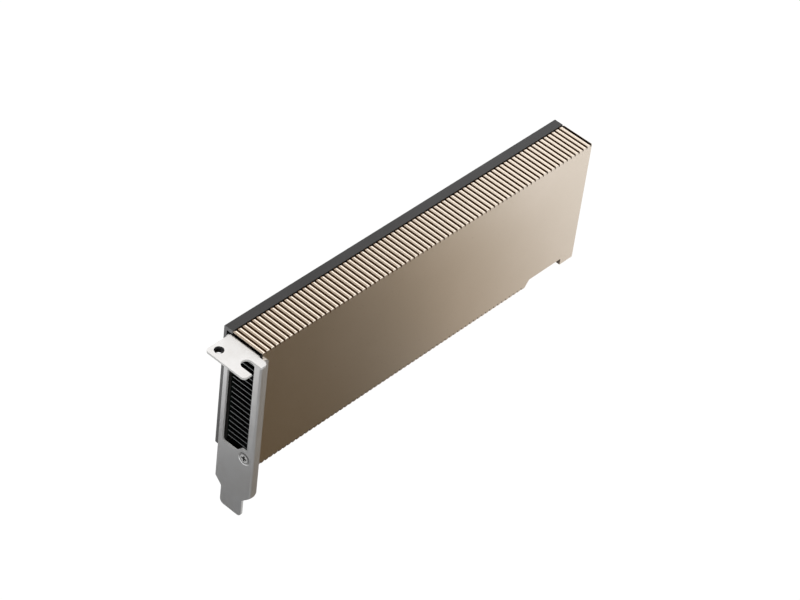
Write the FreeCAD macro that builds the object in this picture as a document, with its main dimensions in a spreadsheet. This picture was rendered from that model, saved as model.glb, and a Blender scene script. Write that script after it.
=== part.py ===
import FreeCAD, Part
import os
import Sketcher

# Passive accelerator card, low profile, one slot wide.
# The datum is the middle of the lower edge of the connector, in the board's mid plane.
# X runs from the bracket to the far end, Z runs up, and the finned front looks along -Y.
# Sketches use card coordinates: X from the bracket's outer face, Z from the top of its tab,
# and a depth that grows from the outer face of the backplate towards the front.

doc = FreeCAD.newDocument("AcceleratorCard")
card = doc.addObject("Spreadsheet::Sheet", "Card")

sizes = {
    # Envelope shared by the shroud and the backplate
    "coverEnd": 168.49,
    "cardDepth": 18.25,
    "topRise": 1.2,
    # Shroud
    "shroudStart": 1.0,
    "shroudHeight": 54.8,
    "shroudWall": 2.0,
    "shroudFrontWall": 1.2,
    "shroudEdge": 0.2,
    "nearLipThick": 0.65,
    "nearLipReach": 0.8,
    "partingGap": 0.65,
    "slotStart": 2.78,
    "slotPitch": 2.1767,
    "slotWidth": 0.47,
    "slotDepth": 1.0,
    "lipRun": 0.9,
    "lipDrop": 0.28,
    "tongueInset": 0.45,
    "tongueWidth": 0.7,
    "tongueDrop": 0.35,
    "tongueThick": 1.2,
    "slotEndMargin": 0.1,
    "recessStart": 141.7,
    "recessRun": 2.1,
    "recessRise": 2.9,
    "footStart": 161.4,
    "bossHalf": 2.0,
    "bossClear": 0.4,
    "pilotRadius": 0.85,
    "pilotDepth": 6.5,
    # Backplate
    "backplateStart": 0.95,
    "backplateWall": 1.3,
    "backplateHeight": 55.3,
    "barWidth": 3.97,
    "barThick": 1.5,
    "backplateEdge": 0.3,
    "rearGap": 1.37,
    "rearBossRadius": 2.6,
    # Screws through the backplate and the board into the shroud
    "screwNearX": 13.0,
    "screwSpan": 61.5,
    "screwTopDrop": 2.6,
    "screwBottomDrop": 49.8,
    "screwHeadRadius": 1.9,
    "screwHeadThick": 0.9,
    "screwSink": 1.0,
    "screwGrip": 5.5,
    "looseFit": 0.25,
    # Bracket sheet
    "sheetThick": 0.86,
    "bendInner": 0.2,
    "stripEdgeDepth": 2.2,
    "stripShoulder": 1.4,
    "stripEndDrop": 68.0,
    "tipNearDepth": 5.25,
    "tipWidth": 10.3,
    "tipRadius": 1.9,
    "bracketHeight": 79.2,
    "sideLipDepth": 3.1,
    "sideLipDrop": 67.3,
    "sideLipFoot": 67.5,
    "sideLipRadius": 1.9,
    "lipClearance": 0.06,
    "tabLength": 11.43,
    "tabNearDepth": 3.6,
    "tabReliefDepth": 17.1,
    "tabFarDepth": 22.1,
    "tabRelief": 0.3,
    "tabRadius": 1.5,
    "tabSlotCentre": 5.65,
    "tabSlotWidth": 4.42,
    "tabSlotEndDepth": 15.4,
    "windowNearDepth": 3.94,
    "windowWidth": 12.0,
    "windowTopDrop": 5.5,
    "windowBottomDrop": 49.65,
    "windowStepRise": 2.7,
    "windowStepDepth": 10.8,
    "windowStepRun": 2.5,
    "windowRadius": 0.9,
    # Screws that hold the bracket to the shroud
    "bracketScrewDepth": 14.8,
    "bracketScrewDrop": 50.67,
    "bracketScrewHead": 2.3,
    "bracketSinkRadius": 2.6,
    "topScrewDepth": 10.0,
    "topScrewDrop": 3.2,
    "topScrewHead": 1.75,
    "bracketCross": 1.25,
    "topCross": 0.95,
    "lugReach": 8.0,
    "lugHalfWidth": 2.2,
    # Threaded insert in the tab
    "insertX": 7.94,
    "insertDepth": 6.74,
    "insertMouth": 1.8,
    "insertBore": 1.25,
    "insertRim": 0.1,
    "insertFlange": 2.3,
    "insertDrop": 2.2,
    # Board and its edge connector
    "boardThick": 1.57,
    "boardStart": 2.0,
    "boardEnd": 167.65,
    "boardTopDrop": 0.6,
    "boardCorner": 1.0,
    "connectorDrop": 67.7,
    "connectorHeight": 8.25,
    "keyCentre": 59.05,
    "keyWidth": 1.9,
    "keyHeight": 7.0,
    "keyToNearEnd": 12.15,
    "keyToFarEnd": 39.15,
    "connectorBevel": 0.5,
    "contactPitch": 1.0,
    "contactWidth": 0.7,
    "contactHeight": 4.9,
    "contactRise": 0.7,
    "contactThick": 0.04,
    "keyToContact": 1.5,
    "nearContacts": 11,
    "farContacts": 38,
    "couplerCount": 16,
    "couplerPitch": 2.4,
    "couplerStart": 51.0,
    "couplerDrop": 57.0,
    # Heatsink
    "baseStart": 34.0,
    "baseEnd": 150.0,
    "baseHeight": 41.2,
    "baseDepth": 6.9,
    "baseThick": 2.5,
    "baseCorner": 2.0,
    "pedestal": 18.0,
    "postRadius": 2.4,
    "finStart": 1.3,
    "finEnd": 165.0,
    "finThick": 0.3,
    "finPitch": 2.31,
    "finCount": "=floor((baseHeight + finPitch / 2) / finPitch) + 1",
    "finStepGap": 1.0,
    "finRearDepth": 5.4,
    "finClearance": 0.15,
    "webThick": 0.4,
    # Processor package
    "gpuX": 84.0,
    "gpuDrop": 26.0,
    "gpuPackage": 29.0,
    "gpuPackageThick": 1.5,
    "dieWidth": 15.0,
    "dieHeight": 13.0,
    "dieThick": 0.8,
    "pasteThick": 0.1,
    "frameOuter": 27.5,
    "frameInner": 21.0,
    "frameThick": 0.5,
    "sinkScrewX": 20.0,
    "sinkScrewInset": 2.6,
    "sinkScrewZ": "=baseHeight / 2 - sinkScrewInset",
    "sinkScrewRadius": 1.2,
    "sinkHeadRadius": 2.3,
    "sinkHeadThick": 1.0,
    "sinkHeadSink": 0.25,
    "sinkScrewGrip": 4.4,
    "washerRadius": 2.2,
    # Memory
    "memoryOffsetX": 24.0,
    "memoryOffsetZ": 8.3,
    "memoryWidth": 12.0,
    "memoryHeight": 14.0,
    "memoryThick": 1.2,
    "rearMemoryThick": 1.0,
    "padInset": 0.5,
    # Power stages, inductors and bulk capacitors stand in three columns
    "powerPitch": 9.4,
    "inductorX": 121.0,
    "inductorSide": 7.0,
    "inductorThick": 2.4,
    "stageX": 130.5,
    "stageWidth": 5.0,
    "stageHeight": 6.0,
    "stageThick": 0.9,
    "bulkX": 140.5,
    "bulkWidth": 7.3,
    "bulkHeight": 4.3,
    "bulkThick": 2.0,
    "mouldEdge": 0.25,
    # Small parts
    "filterOffset": 16.2,
    "filterPitch": 2.2,
    "filterCount": 12,
    "filterLong": 1.6,
    "filterShort": 0.8,
    "controllerSide": 6.0,
    "controllerThick": 0.9,
    "controllerX": 112.5,
    "controllerDrop": 45.0,
    "firmwareX": 47.0,
    "firmwareDrop": 38.0,
    "firmwareWidth": 8.0,
    "firmwareHeight": 6.0,
    "crystalX": 47.0,
    "crystalDrop": 14.0,
    "crystalWidth": 3.2,
    "crystalHeight": 2.5,
    "crystalThick": 0.8,
    # Cross recesses
    "crossWidth": 0.7,
    "crossReach": 1.15,
    "crossDepth": 0.7,
}

for row, (alias, value) in enumerate(sizes.items(), 1):
    card.set(f"A{row}", alias)
    card.set(f"B{row}", str(value))
    card.setAlias(f"B{row}", alias)
doc.recompute()

# Places and lengths that follow from the sheet
top = "Card.topRise"
bottom = "(Card.topRise - Card.shroudHeight)"
boardRear = "(Card.backplateWall + Card.rearGap)"
boardMid = f"({boardRear} + Card.boardThick / 2)"
boardFront = f"({boardRear} + Card.boardThick)"
boardFoot = "(Card.connectorHeight - Card.connectorDrop)"
connectorStart = "(Card.keyCentre - Card.keyToNearEnd)"
connectorEnd = "(Card.keyCentre + Card.keyToFarEnd)"
connectorCentre = f"(({connectorStart} + {connectorEnd}) / 2)"
ribEnd = "(Card.barWidth + Card.partingGap)"
shroudInner = "(Card.cardDepth - Card.shroudFrontWall)"
shroudTopInner = "(Card.topRise - Card.shroudWall)"
shroudBottomInner = f"({bottom} + Card.shroudWall)"
dieTop = f"({boardFront} + Card.gpuPackageThick + Card.dieThick)"
baseFront = "(Card.baseDepth + Card.baseThick)"
windowFar = "(Card.windowNearDepth + Card.windowWidth)"
tipFar = "(Card.tipNearDepth + Card.tipWidth)"
neckNearDrop = "(Card.stripEndDrop + Card.tipNearDepth - Card.stripEdgeDepth)"
stripOuter = "(Card.cardDepth + Card.lipClearance + Card.sheetThick)"
neckFarDrop = f"(Card.sideLipDrop + {stripOuter} - {tipFar})"
bendOuter = "(Card.bendInner + Card.sheetThick)"
screwClear = "(Card.pilotRadius + Card.looseFit)"
lastSlot = "floor((Card.coverEnd - Card.slotStart - Card.slotEndMargin) / Card.slotPitch)"
lastUnderSlot = "floor((Card.recessStart - Card.slotStart) / Card.slotPitch)"
screwRows = ["-Card.screwTopDrop", "-Card.screwBottomDrop"]
screwColumns = 3
powerStages = 4
overcut = "0.5"
tolerance = 0.001
wallShare = 0.9


def number(expression):
    return float(card.evalExpression(expression))


def originFeature(body, role):
    return [item for item in body.Origin.OriginFeatures if item.Role == role][0]


def newBody(label, x="0", depth="0", z="0"):
    # x, depth and z are card coordinates of the sub-part's own reference point
    body = doc.addObject("PartDesign::Body", label)
    body.Label = label
    body.AllowCompound = True
    body.setExpression("Placement.Base.x", f"{x} - {connectorCentre}")
    body.setExpression("Placement.Base.y", f"{boardMid} - ({depth})")
    body.setExpression("Placement.Base.z", f"{z} + Card.connectorDrop")
    return body


def newSketch(body, role, offset="0"):
    sketch = body.newObject("Sketcher::SketchObject", body.Label + "_sketch")
    sketch.AttachmentSupport = [(originFeature(body, role), "")]
    sketch.MapMode = "FlatFace"
    sketch.setExpression("AttachmentOffset.Base.z", offset)
    return sketch


def hold(sketch, kind, shape, point, expression):
    # Ties one coordinate of a point to an expression of the sheet
    place = sketch.addConstraint(Sketcher.Constraint(kind, -1, 1, shape, point, number(expression)))
    sketch.setExpression(f"Constraints[{place}]", expression)


def outline(sketch, corners):
    first = sketch.GeometryCount
    count = len(corners)
    places = [FreeCAD.Vector(number(x), number(y), 0) for x, y in corners]
    for i in range(count):
        sketch.addGeometry(Part.LineSegment(places[i], places[(i + 1) % count]))
    for i in range(count):
        sketch.addConstraint(Sketcher.Constraint("Coincident", first + i, 2, first + (i + 1) % count, 1))
    for i, (x, y) in enumerate(corners):
        hold(sketch, "DistanceX", first + i, 1, x)
        hold(sketch, "DistanceY", first + i, 1, y)


def rectangle(sketch, x1, x2, y1, y2):
    outline(sketch, [(x1, y1), (x2, y1), (x2, y2), (x1, y2)])


def circle(sketch, x, y, radius):
    centre = FreeCAD.Vector(number(x), number(y), 0)
    shape = sketch.addGeometry(Part.Circle(centre, FreeCAD.Vector(0, 0, 1), number(radius)))
    hold(sketch, "DistanceX", shape, 3, x)
    hold(sketch, "DistanceY", shape, 3, y)
    place = sketch.addConstraint(Sketcher.Constraint("Radius", shape, number(radius)))
    sketch.setExpression(f"Constraints[{place}]", radius)


def pad(body, sketch, length, backwards=False):
    feature = body.newObject("PartDesign::Pad", body.Label + "_pad")
    feature.Profile = sketch
    feature.Reversed = backwards
    feature.setExpression("Length", length)
    return feature


def cut(body, sketch, length=None, backwards=False):
    # Without a length the cut runs right through, both ways
    feature = body.newObject("PartDesign::Pocket", body.Label + "_cut")
    feature.Profile = sketch
    feature.Reversed = backwards
    if length is None:
        feature.Type = "ThroughAll"
        feature.SideType = "Symmetric"
    else:
        feature.setExpression("Length", length)
    return feature


def edgesWhere(feature, test):
    doc.recompute()
    edges = feature.Shape.Edges
    return [f"Edge{i + 1}" for i, edge in enumerate(edges) if test(edge)]


def isAlong(edge, direction):
    if edge.Curve.TypeId != "Part::GeomLine":
        return False
    ends = edge.Vertexes[-1].Point - edge.Vertexes[0].Point
    return abs(ends.normalize().dot(direction)) > 1 - tolerance


def isAt(edge, axis, place):
    return all(abs(getattr(vertex.Point, axis) - place) < tolerance for vertex in edge.Vertexes)


def roundEdges(body, feature, radius, test):
    fillet = body.newObject("PartDesign::Fillet", body.Label + "_round")
    fillet.Base = (feature, edgesWhere(feature, test))
    fillet.setExpression("Radius", radius)
    return fillet


def bevelEdges(body, feature, size, test):
    chamfer = body.newObject("PartDesign::Chamfer", body.Label + "_bevel")
    chamfer.Base = (feature, edgesWhere(feature, test))
    chamfer.setExpression("Size", size)
    return chamfer


def repeat(body, originals, role, spacing, count, backwards=False):
    pattern = body.newObject("PartDesign::LinearPattern", body.Label + "_row")
    pattern.Originals = originals
    pattern.Direction = (originFeature(body, role), [""])
    pattern.Reversed = backwards
    pattern.Mode = "Spacing"
    pattern.setExpression("Offset", spacing)
    pattern.setExpression("Occurrences", count)
    body.Tip = pattern
    return pattern


# Whatever lies between the rows of screws is cut back around the shroud's bosses
def clearBosses(body, nearEnd):
    room = newSketch(body, "XZ_Plane")
    half = "(Card.bossHalf + Card.bossClear)"
    for place, (x, z) in enumerate(screwPlaces()):
        side = "" if z == screwRows[0] else "-"
        left = nearEnd if place < len(screwRows) else f"({x} - {half})"
        rectangle(room, left, f"({x} + {half})", f"({z} - {side}{half})", f"({z} + {side}2 * {half})")
    cut(body, room)


# Two rows: the second direction needs its own list of spacings before it first recomputes
def repeatInRows(body, originals, spacing, count, rise):
    grid = repeat(body, originals, "X_Axis", spacing, count)
    grid.Direction2 = (originFeature(body, "Z_Axis"), [""])
    grid.Mode2 = "Spacing"
    grid.setExpression("Offset2", rise)
    grid.Occurrences2 = 2
    grid.Spacings2 = [-1.0]


alongX = FreeCAD.Vector(1, 0, 0)
alongY = FreeCAD.Vector(0, 1, 0)
alongZ = FreeCAD.Vector(0, 0, 1)


def screwPlaces():
    columns = [f"(Card.screwNearX + {i} * Card.screwSpan)" for i in range(screwColumns)]
    return [(x, z) for x in columns for z in screwRows]


def sinkScrewPlaces():
    return [
        (f"(Card.gpuX + {i} * Card.sinkScrewX)", f"({j} * Card.sinkScrewZ - Card.gpuDrop)")
        for i in (-1, 1)
        for j in (-1, 1)
    ]


# Shroud: a channel over the fins, with slots milled across its top and bottom
def makeShroud():
    body = newBody("shroud")
    right = "Card.coverEnd"
    recessTop = f"({bottom} + Card.recessRise)"
    recessFlat = "(Card.recessStart + Card.recessRun)"
    outer = newSketch(body, "XZ_Plane", ribEnd)
    outline(outer, [
        ("Card.shroudStart", top),
        (right, top),
        (right, bottom),
        ("Card.footStart", bottom),
        ("Card.footStart", recessTop),
        (recessFlat, recessTop),
        ("Card.recessStart", bottom),
        ("Card.shroudStart", bottom),
    ])
    block = pad(body, outer, f"Card.cardDepth - {ribEnd}")
    front = -number("Card.cardDepth")
    rim = number(top)
    bevelEdges(body, block, "Card.shroudEdge", lambda edge: isAt(edge, "y", front) and isAt(edge, "z", rim))

    cavity = newSketch(body, "XZ_Plane", ribEnd)
    raised = f"({shroudBottomInner} + Card.recessRise)"
    left = f"(Card.shroudStart - {overcut})"
    outline(cavity, [
        (left, shroudTopInner),
        (f"(Card.coverEnd + {overcut})", shroudTopInner),
        (f"(Card.coverEnd + {overcut})", raised),
        (recessFlat, raised),
        ("Card.recessStart", shroudBottomInner),
        (left, shroudBottomInner),
    ])
    cut(body, cavity, f"{shroudInner} - {ribEnd}", backwards=True)

    # Square bosses stand against the top and bottom walls
    bosses = newSketch(body, "XZ_Plane", boardFront)
    for x, z in screwPlaces():
        wall, side = (shroudTopInner, "-1") if z == screwRows[0] else (shroudBottomInner, "1")
        rectangle(bosses, f"({x} - Card.bossHalf)", f"({x} + Card.bossHalf)",
                  wall, f"({z} + {side} * Card.bossHalf)")
    pad(body, bosses, f"{shroudInner} - {boardFront}")

    # Lugs at the near end take the bracket's screws
    lugs = newSketch(body, "YZ_Plane", "Card.sheetThick")
    rectangle(lugs, "(-Card.topScrewDepth - Card.lugHalfWidth)", "(-Card.topScrewDepth + Card.lugHalfWidth)",
              "(-Card.topScrewDrop - Card.topScrewHead)", shroudTopInner)
    rectangle(lugs, f"-{shroudInner}", "(-Card.bracketScrewDepth + Card.bracketScrewHead)",
              shroudBottomInner, "(-Card.bracketScrewDrop + Card.bracketScrewHead)")
    pad(body, lugs, "Card.lugReach - Card.sheetThick")

    pilots = newSketch(body, "XZ_Plane", boardFront)
    for x, z in screwPlaces():
        circle(pilots, x, z, "Card.pilotRadius")
    cut(body, pilots, "Card.pilotDepth", backwards=True)
    lugPilots = newSketch(body, "YZ_Plane", "Card.sheetThick")
    circle(lugPilots, "-Card.topScrewDepth", "-Card.topScrewDrop", "Card.pilotRadius")
    circle(lugPilots, "-Card.bracketScrewDepth", "-Card.bracketScrewDrop", "Card.pilotRadius")
    cut(body, lugPilots, "Card.pilotDepth", backwards=True)

    # The bracket's bend passes under a thin lip at the near end
    relief = newSketch(body, "XZ_Plane", "Card.tabNearDepth")
    rectangle(relief, left, "(Card.shroudStart + Card.nearLipReach)",
              f"({shroudTopInner} - {overcut})", f"({top} - Card.nearLipThick)")
    cut(body, relief, "Card.tabReliefDepth - Card.tabNearDepth", backwards=True)

    # One tongue of each rib bridges the parting gap
    tongue = newSketch(body, "XZ_Plane", "Card.barWidth")
    tongueStart = "(Card.slotStart - Card.slotPitch + Card.tongueInset)"
    rectangle(tongue, tongueStart, f"({tongueStart} + Card.tongueWidth)",
              f"({top} - Card.tongueDrop - Card.tongueThick)", f"({top} - Card.tongueDrop)")
    repeat(body, [pad(body, tongue, "Card.partingGap")], "X_Axis", "Card.slotPitch", f"{lastSlot} + 1")
    endTongue = newSketch(body, "XZ_Plane", "Card.barWidth")
    rectangle(endTongue, "(Card.coverEnd - Card.tongueWidth)", "Card.coverEnd",
              f"({top} - Card.tongueDrop - Card.tongueThick)", f"({top} - Card.tongueDrop)")
    pad(body, endTongue, "Card.partingGap")

    # The far edge of each slot's floor stands square, the near edge rises to a wide bevel
    def slot(level, sign):
        wall = "Card.slotStart"
        floorEdge = f"({wall} - Card.slotWidth)"
        bevelEdge = f"({floorEdge} - Card.lipRun)"
        section = newSketch(body, "XZ_Plane", "0")
        outline(section, [
            (wall, f"({level} + {sign} * {overcut})"),
            (wall, f"({level} - {sign} * Card.slotDepth)"),
            (floorEdge, f"({level} - {sign} * Card.slotDepth)"),
            (floorEdge, f"({level} - {sign} * Card.lipDrop)"),
            (bevelEdge, level),
            (bevelEdge, f"({level} + {sign} * {overcut})"),
        ])
        return cut(body, section)

    repeat(body, [slot(top, "1")], "X_Axis", "Card.slotPitch", f"{lastSlot} + 1")
    repeat(body, [slot(bottom, "-1")], "X_Axis", "Card.slotPitch", f"{lastUnderSlot} + 1")
    return body


# Backplate: a wall behind the board, with a bar folded over the board's top edge
def makeBackplate():
    body = newBody("backplate")
    wall = newSketch(body, "XZ_Plane")
    rectangle(wall, "Card.backplateStart", "Card.coverEnd", f"({top} - Card.backplateHeight)", top)
    pad(body, wall, "Card.backplateWall")
    bar = newSketch(body, "XZ_Plane")
    rectangle(bar, "Card.backplateStart", "Card.coverEnd", f"({top} - Card.barThick)", top)
    channel = pad(body, bar, "Card.barWidth")
    rim = number(top)
    foot = number(f"({top} - Card.backplateHeight)")
    bevelEdges(body, channel, "Card.backplateEdge", lambda edge: isAlong(edge, alongX)
               and isAt(edge, "y", 0) and (isAt(edge, "z", rim) or isAt(edge, "z", foot)))
    bosses = newSketch(body, "XZ_Plane", "Card.backplateWall")
    for x, z in screwPlaces():
        circle(bosses, x, z, "Card.rearBossRadius")
    pad(body, bosses, "Card.rearGap")
    sinks = newSketch(body, "XZ_Plane")
    for x, z in screwPlaces():
        circle(sinks, x, z, "(Card.screwHeadRadius + Card.looseFit / 2)")
    cut(body, sinks, "Card.screwSink", backwards=True)
    holes = newSketch(body, "XZ_Plane")
    for x, z in screwPlaces():
        circle(holes, x, z, screwClear)
    for x, z in sinkScrewPlaces():
        circle(holes, x, z, "(Card.sinkHeadRadius + Card.looseFit)")
    cut(body, holes)
    return body


# Bracket: one sheet with a folded tab, a folded side lip, an air window and a slotted tab
def makeBracket():
    body = newBody("io_bracket")
    angle = newSketch(body, "XY_Plane")
    outline(angle, [
        ("0", "-Card.stripEdgeDepth"),
        ("0", f"-{stripOuter}"),
        ("Card.sideLipDepth", f"-{stripOuter}"),
        ("Card.sideLipDepth", f"(-{stripOuter} + Card.sheetThick)"),
        ("Card.sheetThick", f"(-{stripOuter} + Card.sheetThick)"),
        ("Card.sheetThick", "-Card.stripEdgeDepth"),
    ])
    pad(body, angle, "Card.bracketHeight", backwards=True)
    shoulders = newSketch(body, "YZ_Plane")
    beyond = f"(-{stripOuter} - {overcut})"
    rectangle(shoulders, beyond, "-Card.tabReliefDepth", "-Card.stripShoulder", overcut)
    rectangle(shoulders, "-Card.tabNearDepth", f"(-Card.stripEdgeDepth + {overcut})",
              "-Card.stripShoulder", overcut)
    cut(body, shoulders)
    below = f"(-Card.bracketHeight - {overcut})"
    lipFoot = newSketch(body, "XZ_Plane")
    rectangle(lipFoot, bendOuter, f"(Card.sideLipDepth + {overcut})", below, "-Card.sideLipFoot")
    cut(body, lipFoot)
    tab = newSketch(body, "XY_Plane")
    outline(tab, [
        ("Card.sheetThick", "-Card.tabNearDepth"),
        ("-Card.tabLength", "-Card.tabNearDepth"),
        ("-Card.tabLength", "-Card.tabFarDepth"),
        ("-Card.tabRelief", "-Card.tabFarDepth"),
        ("-Card.tabRelief", "-Card.tabReliefDepth"),
        ("Card.sheetThick", "-Card.tabReliefDepth"),
    ])
    folded = pad(body, tab, "Card.sheetThick", backwards=True)

    sheet = number("Card.sheetThick")
    outerY = -number(stripOuter)
    lipX = number("Card.sideLipDepth")
    outerBends = roundEdges(body, folded, bendOuter, lambda edge:
                            (isAlong(edge, alongZ) and isAt(edge, "x", 0) and isAt(edge, "y", outerY))
                            or (isAlong(edge, alongY) and isAt(edge, "x", sheet) and isAt(edge, "z", 0)))
    innerBends = roundEdges(body, outerBends, "Card.bendInner", lambda edge:
                            (isAlong(edge, alongZ) and isAt(edge, "x", sheet)
                             and isAt(edge, "y", outerY + sheet))
                            or (isAlong(edge, alongY) and isAt(edge, "x", 0) and isAt(edge, "z", -sheet)))
    tabEnd = -number("Card.tabLength")
    tabCorner = (-number("Card.tabRelief"), -number("Card.tabFarDepth"))
    tabRound = roundEdges(body, innerBends, "Card.tabRadius", lambda edge: isAlong(edge, alongZ)
                          and (isAt(edge, "x", tabEnd)
                               or (isAt(edge, "x", tabCorner[0]) and isAt(edge, "y", tabCorner[1]))))
    roundEdges(body, tabRound, "Card.sideLipRadius",
               lambda edge: isAlong(edge, alongY) and isAt(edge, "x", lipX))

    # The foot narrows by two slanted cuts to the tongue that enters the case
    foot = newSketch(body, "YZ_Plane")
    outline(foot, [
        (f"(-Card.stripEdgeDepth + {overcut})", f"(-Card.stripEndDrop + {overcut})"),
        ("-Card.tipNearDepth", f"-{neckNearDrop}"),
        ("-Card.tipNearDepth", below),
        (f"(-Card.stripEdgeDepth + {overcut})", below),
    ])
    outline(foot, [
        (beyond, f"(-Card.sideLipDrop + {overcut})"),
        (f"-{tipFar}", f"-{neckFarDrop}"),
        (f"-{tipFar}", below),
        (beyond, below),
    ])
    slanted = cut(body, foot)
    tipFoot = -number("Card.bracketHeight")
    tipWall = f"{wallShare} * (Card.bracketHeight - max({neckNearDrop}; {neckFarDrop}))"
    roundEdges(body, slanted, f"min(Card.tipRadius; {tipWall})",
               lambda edge: isAlong(edge, alongX) and isAt(edge, "z", tipFoot))

    window = newSketch(body, "YZ_Plane")
    windowFoot = "-Card.windowBottomDrop"
    stepTop = f"({windowFoot} + Card.windowStepRise)"
    outline(window, [
        ("-Card.windowNearDepth", "-Card.windowTopDrop"),
        (f"-{windowFar}", "-Card.windowTopDrop"),
        (f"-{windowFar}", stepTop),
        ("(-Card.windowStepDepth - Card.windowStepRun)", stepTop),
        ("-Card.windowStepDepth", windowFoot),
        ("-Card.windowNearDepth", windowFoot),
    ])
    opened = cut(body, window)
    inWindow = (-number(windowFar) - tolerance, -number("Card.windowNearDepth") + tolerance)
    windowLevels = (-number("Card.windowBottomDrop") - tolerance, -number("Card.windowTopDrop") + tolerance)
    roundEdges(body, opened, "Card.windowRadius", lambda edge: isAlong(edge, alongX)
               and inWindow[0] < edge.Vertexes[0].Point.y < inWindow[1]
               and windowLevels[0] < edge.Vertexes[0].Point.z < windowLevels[1])

    slotFar = "(-Card.tabSlotEndDepth - Card.tabSlotWidth / 2)"
    slot = newSketch(body, "XY_Plane")
    rectangle(slot, "(-Card.tabSlotCentre - Card.tabSlotWidth / 2)",
              "(-Card.tabSlotCentre + Card.tabSlotWidth / 2)",
              f"(-Card.tabFarDepth - {overcut})", slotFar)
    cut(body, slot)
    slotRound = newSketch(body, "XY_Plane")
    circle(slotRound, "-Card.tabSlotCentre", slotFar, "Card.tabSlotWidth / 2")
    cut(body, slotRound)
    insertHole = newSketch(body, "XY_Plane")
    circle(insertHole, "-Card.insertX", "-Card.insertDepth", "Card.insertMouth")
    cut(body, insertHole)

    # Countersunk holes for the two screws into the shroud
    for depth, drop, mouth in (("Card.bracketScrewDepth", "Card.bracketScrewDrop", "Card.bracketSinkRadius"),
                               ("Card.topScrewDepth", "Card.topScrewDrop", "Card.topScrewHead")):
        sink = body.newObject("PartDesign::SubtractiveCone", "io_bracket_sink")
        sink.AttachmentSupport = [(originFeature(body, "YZ_Plane"), "")]
        sink.MapMode = "FlatFace"
        sink.setExpression("AttachmentOffset.Base.x", f"-{depth}")
        sink.setExpression("AttachmentOffset.Base.y", f"-{drop}")
        sink.setExpression("Radius1", f"{mouth} + Card.looseFit / 4")
        sink.setExpression("Radius2", f"{mouth} + Card.looseFit / 4 - Card.sheetThick")
        sink.setExpression("Height", "Card.sheetThick")
    return body


# Board with its edge connector, key notch and screw holes
def makeBoard():
    body = newBody("circuit_board")
    edge = "-Card.connectorDrop"
    keyLeft = "(Card.keyCentre - Card.keyWidth / 2)"
    keyRight = "(Card.keyCentre + Card.keyWidth / 2)"
    keyTop = "(Card.keyHeight - Card.connectorDrop)"
    shape = newSketch(body, "XZ_Plane", boardRear)
    outline(shape, [
        ("Card.boardStart", "-Card.boardTopDrop"),
        ("Card.boardEnd", "-Card.boardTopDrop"),
        ("Card.boardEnd", boardFoot),
        (connectorEnd, boardFoot),
        (connectorEnd, edge),
        (keyRight, edge),
        (keyRight, keyTop),
        (keyLeft, keyTop),
        (keyLeft, edge),
        (connectorStart, edge),
        (connectorStart, boardFoot),
        ("Card.boardStart", boardFoot),
    ])
    plate = pad(body, shape, "Card.boardThick")
    corners = (number("Card.boardStart"), number("Card.boardEnd"))
    rounded = roundEdges(body, plate, "Card.boardCorner", lambda item: isAlong(item, alongY)
                         and any(isAt(item, "x", place) for place in corners))
    level = number(edge)
    bevelEdges(body, rounded, "Card.connectorBevel",
               lambda item: isAlong(item, alongX) and isAt(item, "z", level))
    holes = newSketch(body, "XZ_Plane")
    for x, z in screwPlaces():
        circle(holes, x, z, screwClear)
    for x, z in sinkScrewPlaces():
        circle(holes, x, z, "(Card.sinkScrewRadius + Card.looseFit)")
    cut(body, holes)
    return body


# Contacts on both faces of the connector, either side of the key
def makeContacts():
    body = newBody("contact_fingers")
    low = "(Card.contactRise - Card.connectorDrop)"
    high = f"({low} + Card.contactHeight)"
    rear = f"({boardRear} - Card.contactThick)"
    through = "(Card.boardThick + 2 * Card.contactThick)"
    for centre, count, backwards in (("(Card.keyCentre - Card.keyToContact)", "Card.nearContacts", True),
                                     ("(Card.keyCentre + Card.keyToContact)", "Card.farContacts", False)):
        contact = newSketch(body, "XZ_Plane", rear)
        rectangle(contact, f"({centre} - Card.contactWidth / 2)", f"({centre} + Card.contactWidth / 2)",
                  low, high)
        repeat(body, [pad(body, contact, through)], "X_Axis", "Card.contactPitch", count, backwards)
    board = newSketch(body, "XZ_Plane", boardRear)
    rectangle(board, connectorStart, connectorEnd, f"({low} - {overcut})", f"({high} + {overcut})")
    cut(body, board, "Card.boardThick", backwards=True)
    return body


# Heatsink base with a pedestal on the die and posts for the spring screws
def makeBase():
    body = newBody("heatsink_base")
    plate = newSketch(body, "XZ_Plane", "Card.baseDepth")
    rectangle(plate, "Card.baseStart", "Card.baseEnd",
              "(-Card.gpuDrop - Card.baseHeight / 2)", "(-Card.gpuDrop + Card.baseHeight / 2)")
    slab = pad(body, plate, "Card.baseThick")
    roundEdges(body, slab, "Card.baseCorner", lambda edge: isAlong(edge, alongY))
    foot = newSketch(body, "XZ_Plane", f"({dieTop} + Card.pasteThick)")
    rectangle(foot, "(Card.gpuX - Card.pedestal / 2)", "(Card.gpuX + Card.pedestal / 2)",
              "(-Card.gpuDrop - Card.pedestal / 2)", "(-Card.gpuDrop + Card.pedestal / 2)")
    pad(body, foot, f"Card.baseDepth - ({dieTop} + Card.pasteThick)")
    posts = newSketch(body, "XZ_Plane", boardFront)
    for x, z in sinkScrewPlaces():
        circle(posts, x, z, "Card.postRadius")
    pad(body, posts, f"Card.baseDepth - {boardFront}")
    threads = newSketch(body, "XZ_Plane", boardFront)
    for x, z in sinkScrewPlaces():
        circle(threads, x, z, "Card.sinkScrewRadius")
    cut(body, threads, f"{baseFront} - {boardFront} - Card.looseFit", backwards=True)
    clearBosses(body, f"(Card.finStart - {overcut})")
    return body


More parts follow.
